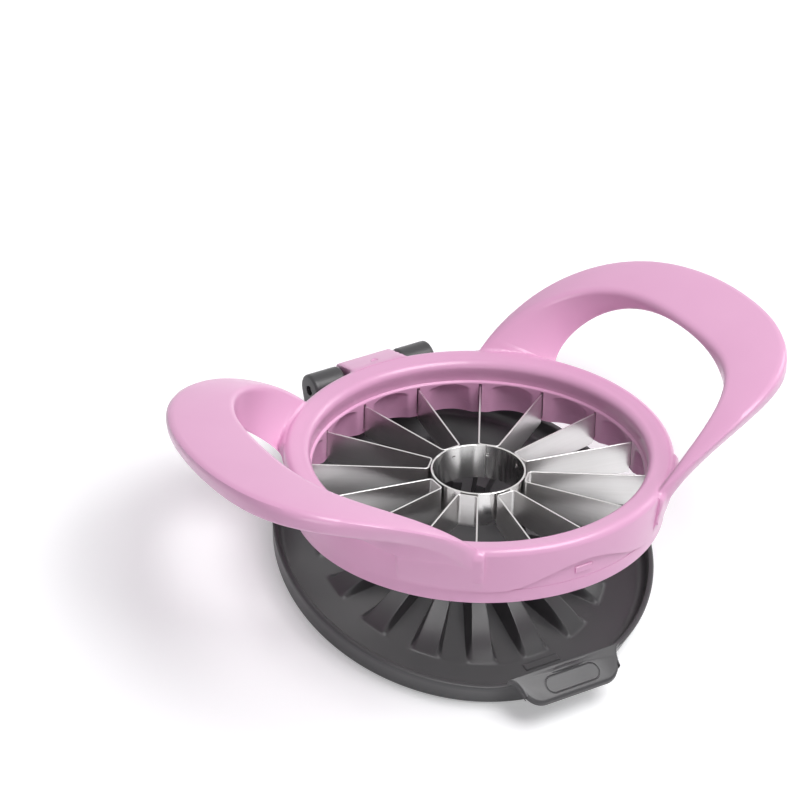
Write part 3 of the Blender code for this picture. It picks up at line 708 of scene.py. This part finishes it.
# Ring with handles. One moulding in glossy pink plastic: a crowned ring with scallops and slots in
# its opening, two loops whose legs flow out of its outer wall, and the boss for the hinge pin.
RING_TOP = 8.0 * MM
RING_RADIUS = 58.0 * MM
RING_ROUND = 2.1 * MM
CREST_RADIUS = RING_RADIUS - RING_ROUND
WALL_DRAFT = 1.6 * MM
STEP_HEIGHT = -6.7 * MM
WALL_FOOT_RADIUS = RING_RADIUS - WALL_DRAFT * 1.15
WALL_FOOT_HEIGHT = STEP_HEIGHT - 2.4 * MM
WALLS_BETWEEN_LEGS = ((-121.5, -58.5), (58.5, 79.5), (100.5, 121.5))
RELIEF_RADIUS = 55.8 * MM
RELIEF_RISE = 6.9 * MM
RELIEF_HALF_ANGLE = math.radians(28)
OPENING_RADIUS = 49.8 * MM
LIP_RADIUS = 50.1 * MM
LIP_ROUND = 2.5 * MM
LIP_DROP = 0.5 * MM
REACH = 97.4 * MM
SPREAD = 57.4 * MM
RISE = 32.9 * MM
LEG_EDGE_SHARES = (
    ((0.308, 0.831, 0.195), (0.565, 0.960, 0.936), (1.0, 0.826, 1.0), (1.0, 0, 1.0)),
    ((0.308, 0.831, 0.195), (0.425, 0.824, 0.626), (0.632, 0.692, 0.878), (0.754, 0.561, 0.900),
     (0.754, 0, 0.900)),
    ((0.511, 0.547, 0.085), (0.519, 0.652, 0.191), (0.688, 0.744, 0.450), (0.746, 0.472, 0.818),
     (0.746, 0, 0.818)),
    ((0.314, 0.862, -0.098), (0.394, 0.747, 0.502), (0.918, 0.958, 0.985), (0.958, 0.599, 0.729),
     (0.958, 0, 0.729)),
)
LEG_ROUNDS = (3.2 * MM, 2.2 * MM, 1.6 * MM, 1.6 * MM)
LEG_STEPS = 56
STUB_SHARE = 0.26
PAD_START = math.radians(33)
PAD_END = math.radians(58.5)
PAD_ROOT_RADIUS = 54.0 * MM
BOSS_HALF_WIDTH = 9.6 * MM
BOSS_RADIUS = 4.6 * MM
GATE_PLACE = 58.6 * MM
NUB_HALF_LENGTH = 2.9 * MM
MELT_GRAIN = 0.6 * MM
MELT_PASSES = 8
FILLET_SINK = 0.12 * MM
SKIN = 0.03 * MM
BAND_RADIUS = 49.55 * MM
SCALLOP_HALF_WIDTH = 6.1 * MM
SCALLOP_SPREAD = 1.2 * MM
SCALLOP_SPRING = -2.1 * MM
SCALLOP_RISE = 2.3 * MM
SCALLOP_DEPTH = 3.6 * MM
SCALLOP_SOFTNESS = 0.5 * MM
PINK = (0.810, 0.412, 0.640, 1)
PINK_SHADE = (0.790, 0.395, 0.622, 1)


def turned_ring(name, profile, segments):
    """A closed ring with the given profile."""
    shape = bmesh.new()
    outlines = []
    for i in range(segments):
        angle = 2 * math.pi * i / segments
        outlines.append([polar(radius, angle, height) for radius, height in profile])
    skin(shape, outlines, closed=True)
    return solid(name, shape)


def ring_body(sink=0.0):
    """The uncut ring, or the same sunk a little, to grow fillets from."""
    below = WALL_FOOT_HEIGHT + 5 * sink
    inside = OPENING_RADIUS - 1 * MM + 10 * sink
    profile = [(inside, below), (WALL_FOOT_RADIUS - sink, below)]
    profile += arc((CREST_RADIUS, RING_TOP - RING_ROUND), RING_ROUND - sink, 0, 90, 10)
    profile += [(CREST_RADIUS - 3.3 * MM, RING_TOP - sink), (inside, RING_TOP - sink)]
    return turned_ring("ring", profile, 288)


def scallop_depth(offset, height):
    """How far the wall is set back at a distance from a scallop's middle, with soft sides."""
    if height > SCALLOP_SPRING:
        up = min((height - SCALLOP_SPRING) / SCALLOP_RISE, 1)
        half = SCALLOP_HALF_WIDTH * math.sqrt(1 - up * up)
        depth = (SCALLOP_DEPTH - 0.8 * MM) * (1 - up ** 3) ** 0.5
    else:
        down = (SCALLOP_SPRING - height) / (9 * MM)
        half = SCALLOP_HALF_WIDTH + SCALLOP_SPREAD * min(down, 1)
        depth = SCALLOP_DEPTH - 0.8 * MM * max(1 - down, 0)
    if half <= 0:
        return 0.0
    hollow = depth * (1 - (offset / half) ** 2)
    below_top = (SCALLOP_SPRING + SCALLOP_RISE - height) / SCALLOP_RISE
    softness = SCALLOP_SOFTNESS * min(max(below_top, 0.1), 1)
    return max(0, (hollow + math.hypot(hollow, softness)) / 2 - softness / 4)


def bore_slug():
    """What is missing inside the ring: funnel, shelf, band and scallops in one turned shape."""
    heights = (-20, -11.5, -9.6, -8, -6.6, -5.4, -4.4, -3.6, -3.0, -2.6)
    rows = [(BAND_RADIUS, z * MM) for z in heights]
    rows += [(BAND_RADIUS, (-2.3 + 0.12 * i) * MM) for i in range(22)]
    shelf = ((0, 0.42), (0.05, 0.58), (0.14, 0.72), (0.28, 0.83), (0.45, 0.90), (0.6, 0.94),
             (0.72, 1.05))
    rows += [(BAND_RADIUS + out * MM, z * MM) for out, z in shelf]
    rows += [(50.36 * MM, 1.6 * MM), (50.34 * MM, 2.6 * MM), (50.2 * MM, 3.8 * MM)]
    lip_centre = (LIP_RADIUS + LIP_ROUND, RING_TOP - LIP_DROP - LIP_ROUND)
    rows += arc(lip_centre, LIP_ROUND, 180, 90, 10)
    for out, rise in ((-2.2, -0.28), (-1.1, -0.08), (-0.5, -0.02), (0.2, 0.03), (0.2, 8)):
        rows.append((CREST_RADIUS + out * MM, RING_TOP + rise * MM))
    shape = bmesh.new()
    outlines = []
    columns = WEDGES * 36
    for radius, height in rows:
        outline = []
        for i in range(columns):
            angle = 2 * math.pi * i / columns
            offset = ((angle + PITCH / 2) % PITCH - PITCH / 2) * radius
            outline.append(polar(radius + scallop_depth(offset, height), angle, height))
        outlines.append(outline)
    skin(shape, outlines)
    return solid("bore", shape)


def wall_slug(start, end):
    """Trims the outer wall between two legs, which leaves a crisp step where each leg ends."""
    profile = [(75 * MM, -20 * MM), (75 * MM, 20 * MM), (CREST_RADIUS, 20 * MM)]
    profile += arc((CREST_RADIUS, RING_TOP - RING_ROUND), RING_ROUND + SKIN, 90, 0, 12)
    profile += [(WALL_FOOT_RADIUS + SKIN, WALL_FOOT_HEIGHT), (55 * MM, -20 * MM)]
    outlines = []
    steps = round((end - start) * 1.2)
    for i in range(steps + 1):
        angle = math.radians(start + (end - start) * i / steps)
        outlines.append([polar(radius, angle, height) for radius, height in profile])
    shape = bmesh.new()
    skin(shape, outlines)
    return solid("wall", shape)


def along_curve(points, share):
    """The point at a share of the way along a Bezier curve."""
    while len(points) > 1:
        points = [a.lerp(b, share) for a, b in zip(points, points[1:])]
    return points[0]


def leg_section(corners):
    """Four edges of a leg joined to a section with round corners, large above and small below."""
    points = []
    for i, corner in enumerate(corners):
        rounding = LEG_ROUNDS[i]
        before = corners[i - 1] - corner
        after = corners[(i + 1) % 4] - corner
        first = before * min(rounding / max(before.length, rounding), 0.42)
        last = after * min(rounding / max(after.length, rounding), 0.42)
        for step in range(5):
            t = step / 4
            points.append(corner + first * (1 - t) ** 2 + last * t ** 2)
    return points


def leg_outline(share, scale=1.0):
    """One section of a leg, scaled about its middle."""
    size = Vector((REACH, SPREAD, RISE))
    corners = [along_curve([Vector(s) * size for s in edge], share) for edge in LEG_EDGE_SHARES]
    if share == 0:
        corners[1] = corners[0].lerp(corners[2], 0.08)
    middle = sum(corners, Vector()) / 4
    return leg_section([middle + (corner - middle) * scale for corner in corners])


def leg_root():
    """The end of a leg inside the ring's wall, and its first section."""
    first = leg_outline(0)
    root = []
    for point in first:
        height = min(max(point.z, -4.0 * MM), 5.4 * MM)
        root.append(polar(54.5 * MM, math.atan2(point.y, point.x), height))
    return [root, first]


def handle_loop(side):
    """A whole handle: one leg out to the tip and its mirror image back."""
    leg = leg_root() + [leg_outline(step / LEG_STEPS) for step in range(1, LEG_STEPS + 1)]
    front = [[Vector((side * p.x, -p.y, p.z)) for p in section] for section in leg]
    back = [[Vector((side * p.x, p.y, p.z)) for p in section] for section in leg[-2::-1]]
    shape = bmesh.new()
    skin(shape, front + back)
    return solid("handle_loop", shape)


def leg_stub(side, end):
    """The first part of a leg, a little fuller than the leg and then tapering off inside it."""
    sections = leg_root()
    for step in range(1, 13):
        share = STUB_SHARE * step / 12
        sections.append(leg_outline(share, 1.03 - 0.35 * (share / STUB_SHARE) ** 1.5))
    shape = bmesh.new()
    turned = [[Vector((side * p.x, end * p.y, p.z)) for p in section] for section in sections]
    skin(shape, turned)
    return solid("leg_stub", shape)


def root_pad(start, end):
    """The raised pad on the outer wall that a leg grows from; it thins out downwards."""
    shape = bmesh.new()
    outlines = []
    for i in range(13):
        angle = start + (end - start) * i / 12
        outlines.append([
            polar(PAD_ROOT_RADIUS, angle, -6.0 * MM), polar(56.5 * MM, angle, -6.0 * MM),
            polar(57.3 * MM, angle, -3.6 * MM), polar(58.6 * MM, angle, 1.5 * MM),
            polar(59.3 * MM, angle, 5.6 * MM), polar(58.4 * MM, angle, 7.2 * MM),
            polar(PAD_ROOT_RADIUS, angle, 7.6 * MM),
        ])
    skin(shape, outlines)
    return solid("root_pad", shape)


def hinge_boss():
    """The block that turns on the pin, round below and behind, its top level with the crest."""
    shape = bmesh.new()
    outline = arc((HEAD_PIVOT.y, HEAD_PIVOT.z), BOSS_RADIUS, -90, 20, 14)
    outline += arc((HEAD_PIVOT.y + 2.4 * MM, HEAD_PIVOT.z + 2.7 * MM), 2.0 * MM, 10, 80, 6)
    outline += [(57.0 * MM, 8.15 * MM), (53.6 * MM, 8.2 * MM), (53.6 * MM, -3.0 * MM)]
    ends = (-BOSS_HALF_WIDTH, BOSS_HALF_WIDTH)
    skin(shape, [[Vector((x, y, z)) for y, z in outline] for x in ends])
    return solid("hinge_boss", shape)


def join(first, *others):
    """Puts several solids in one mesh, without cutting them."""
    shape = bmesh.new()
    for item in (first, *others):
        shape.from_mesh(item.data)
    shape.to_mesh(first.data)
    shape.free()
    for item in others:
        bpy.data.objects.remove(item, do_unlink=True)
    return first


def melt(item, grain, passes):
    """Runs overlapping solids together into one skin and eases every edge and corner of it."""
    remesh = item.modifiers.new("one skin", "REMESH")
    remesh.mode = "VOXEL"
    remesh.voxel_size = grain
    ease = item.modifiers.new("eased", "SMOOTH")
    ease.factor = 0.5
    ease.iterations = passes
    return settle(item)


def step_slug():
    """What is missing below the step line, which rises in a wave over the front."""
    shape = bmesh.new()
    outlines = []
    for i in range(240):
        angle = 2 * math.pi * i / 240
        line = STEP_HEIGHT + front_wave(angle, RELIEF_HALF_ANGLE, RELIEF_RISE)
        outlines.append([
            polar(1 * MM, angle, -20 * MM), polar(70 * MM, angle, -20 * MM),
            polar(70 * MM, angle, line), polar(RELIEF_RADIUS, angle, line),
            polar(55.7 * MM, angle, STEP_HEIGHT), polar(1 * MM, angle, STEP_HEIGHT),
        ])
    skin(shape, outlines, closed=True)
    return solid("below_step", shape)


def slot_slug(bottom):
    """One slot for a blade's end, on the X axis."""
    shape = bmesh.new()
    half = STRIP_THICKNESS / 2 + 0.25 * MM
    end = TIP_RADIUS + 0.2 * MM
    corners = [(47 * MM, -half), (end, -half), (end, half), (47 * MM, half)]
    skin(shape, [[Vector((x, y, z)) for x, y in corners] for z in (bottom, 0.15 * MM)])
    return solid("slots", shape)


def opening_slug(slot_bottom):
    """The whole opening with its sixteen slots."""
    values = {"Copies": WEDGES, "First angle": PITCH / 2}
    slots = grow(slot_slug(slot_bottom), copies_round_the_axis, values)
    return combine(bore_slug(), slots, "UNION")


def gate_mark():
    """The small round witness of the moulding gate on top of the boss."""
    shape = bmesh.new()
    outlines = []
    levels = ((1.4, 5.6), (1.4, 7.75), (1.25, 7.9), (1.05, 7.88), (0.85, 7.6), (0.2, 7.55))
    for size, height in levels:
        circle = arc((0, GATE_PLACE), size * MM, 0, 350, 35)
        outlines.append([Vector((x, y, height * MM)) for x, y in circle])
    skin(shape, outlines)
    return solid("gate_mark", shape)


def front_nub():
    """The small bar in the middle of the relief, which helps the thumb to find the front."""
    shape = bmesh.new()
    outlines = []
    section = ((54, -4.7), (55.9, -4.7), (56.25, -4.4), (56.25, -2.8), (55.9, -2.5), (54, -2.5))
    for i in range(9):
        angle = FRONT + (i - 4) / 4 * NUB_HALF_LENGTH / RELIEF_RADIUS
        outlines.append([polar(radius * MM, angle, height * MM) for radius, height in section])
    skin(shape, outlines)
    return solid("front_nub", shape)


pink_plastic, pink_shader = moulded_plastic(
    "pink_moulded_plastic", PINK, PINK_SHADE, (0.30, 0.36), 600, 0.002 * MM)
pink_shader.inputs["Coat Weight"].default_value = 0.3
pink_shader.inputs["Coat Roughness"].default_value = 0.1
pads = [root_pad(*sorted((middle + sign * PAD_START, middle + sign * PAD_END)))
        for middle in (0, math.pi) for sign in (1, -1)]
stubs = [leg_stub(side, end) for side in (1, -1) for end in (1, -1)]
ring = join(ring_body(FILLET_SINK), hinge_boss(), *pads, *stubs)
melt(ring, MELT_GRAIN, MELT_PASSES)
for part in (ring_body(), handle_loop(1), handle_loop(-1)):
    combine(ring, part, "UNION")
walls = join(*[wall_slug(start, end) for start, end in WALLS_BETWEEN_LEGS])
for slug in (walls, opening_slug(-19 * MM), step_slug()):
    combine(ring, slug, "DIFFERENCE")
for extra in (front_nub(), gate_mark()):
    combine(ring, extra, "UNION")
ring.data.materials.clear()
ring.data.materials.append(pink_plastic)
ring.data.transform(head_place)
smooth_by_angle(ring.data)
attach(ring, "head")
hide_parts("frame")

# Retainer ring. A lower band in the same plastic, pressed on from below once the strips are in
# their slots, so that they can't fall out.
RETAINER_RADIUS = 55.8 * MM
RETAINER_BOTTOM = -11.0 * MM
RETAINER_TOP = STEP_HEIGHT - 0.03 * MM
RETAINER_EDGE = 0.4 * MM
RETAINER_SLOT_BOTTOM = NOTCH_HEIGHT - 0.6 * MM
inner_radius = OPENING_RADIUS - 1 * MM
edge_centre = (RETAINER_RADIUS - RETAINER_EDGE, RETAINER_BOTTOM + RETAINER_EDGE)
retainer_profile = [(inner_radius, RETAINER_TOP), (inner_radius, RETAINER_BOTTOM + 1.4 * MM)]
retainer_profile += arc(edge_centre, RETAINER_EDGE, -90, 0, 4)
retainer_profile += [(RETAINER_RADIUS, RETAINER_TOP)]
retainer = turned_ring("retainer", retainer_profile, 256)
combine(retainer, opening_slug(RETAINER_SLOT_BOTTOM), "DIFFERENCE")
retainer.data.materials.clear()
retainer.data.materials.append(pink_plastic)
retainer.data.transform(head_place)
smooth_by_angle(retainer.data)
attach(retainer, "head")
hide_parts("blade_retainer")

# Studio. A pale floor that runs to a white horizon, large soft lamps, and the camera where the
# photograph was taken from.
CAMERA_PLACE = Vector((-568.15, -587.71, 898.96)) * MM
CAMERA_AIM = Vector((-1.117, 43.587, 25.0)) * MM
CAMERA_ROLL = math.radians(16.03)
BLACK = (0, 0, 0, 1)
WHITE = (1, 1, 1, 1)
ROOM_GREY = (0.16, 0.163, 0.174, 1)
FLOOR_WHITE = (0.86, 0.86, 0.87, 1)
FLOOR_GLOW = 0.30
FLOOR_HALF_SIZE = 6.0
LAMP_AIM = (0, 0, 0.03)
floor_finish, floor_shader, floor_place = new_finish("pale_floor")
floor_shader.inputs["Base Color"].default_value = FLOOR_WHITE
floor_shader.inputs["Roughness"].default_value = 0.6
floor_shader.inputs["Specular IOR Level"].default_value = 0.2
floor_shader.inputs["Emission Strength"].default_value = FLOOR_GLOW


def seen_directly(start):
    """One for rays from the camera and for those that a glossy surface sends on, else zero."""
    outputs = ("Is Camera Ray", "Is Glossy Ray")
    kinds = [start.node("ShaderNodeLightPath", {}, {}, output) for output in outputs]
    return start.maths("MAXIMUM", *kinds)


feed(floor_shader, "Emission Color", blend(seen_directly(floor_place), BLACK, WHITE))
floor_shape = bmesh.new()
bmesh.ops.create_grid(floor_shape, x_segments=1, y_segments=1, size=FLOOR_HALF_SIZE)
floor = solid("floor", floor_shape)
floor.data.materials.append(floor_finish)

world = bpy.data.worlds.new("soft white room")
world.use_nodes = True
bpy.context.scene.world = world
sky = Wire(world.node_tree)
background = world.node_tree.nodes["Background"]
feed(background, "Color", blend(seen_directly(sky), ROOM_GREY, WHITE))


def soft_lamp(name, place, size, power):
    """A rectangular area lamp, turned to the object."""
    data = bpy.data.lights.new(name, "AREA")
    data.shape = "RECTANGLE"
    data.size, data.size_y = size
    data.energy = power
    lamp = bpy.data.objects.new(name, data)
    bpy.context.scene.collection.objects.link(lamp)
    lamp.location = place
    lamp.rotation_euler = (Vector(LAMP_AIM) - Vector(place)).to_track_quat("-Z", "Y").to_euler()


soft_lamp("lamp_overhead", (0.25, -0.15, 1.2), (0.8, 0.8), 13.2)
soft_lamp("lamp_right", (1.2, 0.3, 0.6), (0.6, 0.6), 3)
soft_lamp("lamp_front", (-0.9, -1.1, 0.5), (0.7, 0.5), 3)

camera_data = bpy.data.cameras.new("camera")
camera_data.lens = 180
camera_data.sensor_width = 36
camera_data.clip_end = 30
camera = bpy.data.objects.new("camera", camera_data)
bpy.context.scene.collection.objects.link(camera)
looking = (CAMERA_AIM - CAMERA_PLACE).to_track_quat("-Z", "Y").to_matrix().to_4x4()
rolled = Matrix.Rotation(CAMERA_ROLL, 4, "Z")
camera.matrix_world = Matrix.Translation(CAMERA_PLACE) @ looking @ rolled
bpy.context.scene.camera = camera
bpy.context.scene.view_settings.view_transform = "Standard"
